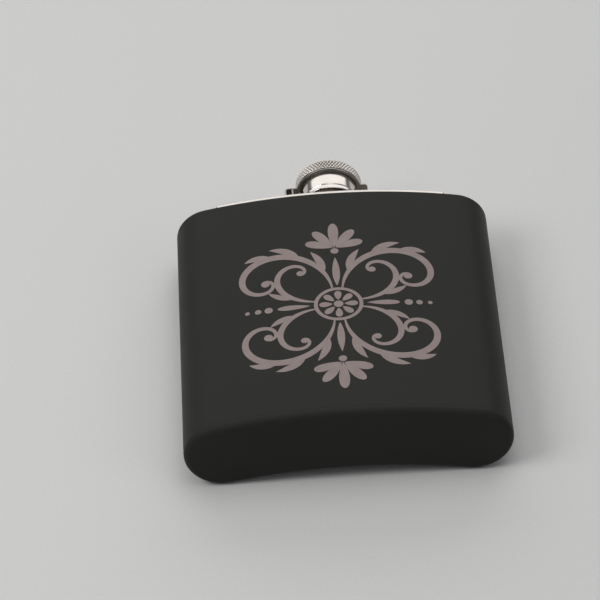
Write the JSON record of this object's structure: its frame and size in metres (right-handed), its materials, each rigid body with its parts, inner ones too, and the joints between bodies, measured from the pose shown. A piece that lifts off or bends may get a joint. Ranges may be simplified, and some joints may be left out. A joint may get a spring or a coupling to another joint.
{
  "type": "hip flask",
  "caption": "Curved pocket flask with a convex front face, a short threaded neck and a knurled screw cap held by a hinged captive arm.",
  "frame": {"origin": "centre of the flask's footprint as it lies on its back, cap included, at the level of the two long ridges that it rests on", "axes": "+Y along the neck axis towards the cap, +X across the width with the captive arm's hinge at -X, +Z through the thickness towards the convex front face"},
  "size_m": [0.0936, 0.113, 0.0253],
  "materials": {
    "body_black": "matte black powder coat on stainless steel, with a pinkish grey laser-engraved ornament on the front face",
    "top_steel": "bare polished crown with a black coated rim",
    "neck_steel": "turned steel thread",
    "hinge_steel": "satin steel",
    "arm_steel": "satin pressed steel",
    "cap_steel": "polished turned steel with a diamond-knurled head",
    "insert_plastic": "moulded off-white nylon",
    "gasket_silicone": "soft translucent off-white silicone"
  },
  "bodies": {
    "flask": {"front_shell": "body_black", "back_shell": "body_black", "bottom_plate": "body_black", "top_plate": "top_steel", "neck_tube": "neck_steel", "hinge_bracket": "hinge_steel", "hinge_pin": "hinge_steel"},
    "arm": {"captive_arm": "arm_steel"},
    "cap_seal": {"cap_gasket": "gasket_silicone"},
    "cap": {"cap_sleeve": "cap_steel", "cap_lip_ring": "cap_steel", "cap_head": "cap_steel", "cap_top_disc": "cap_steel", "cap_thread_insert": "insert_plastic"}
  },
  "joints": [
    {"name": "arm_swing", "type": "hinge", "parent": "flask", "child": "arm", "pos_m": [-0.0121, 0.04505, 0.01446], "axis": [0, 0, 1], "range_deg": [0, 100]},
    {"name": "cap_lift", "type": "slide", "parent": "arm", "child": "cap_seal", "axis": [0, 1, 0], "range_m": [0, 0.0042]},
    {"name": "cap_turn", "type": "hinge", "parent": "cap_seal", "child": "cap", "pos_m": [0, 0.05655, 0.01446], "axis": [0, 1, 0], "range_deg": [0, 720]}
  ],
  "couplings": [
    {"joint": "cap_turn", "follows": "cap_lift", "rad_per_m": 2992}
  ]
}
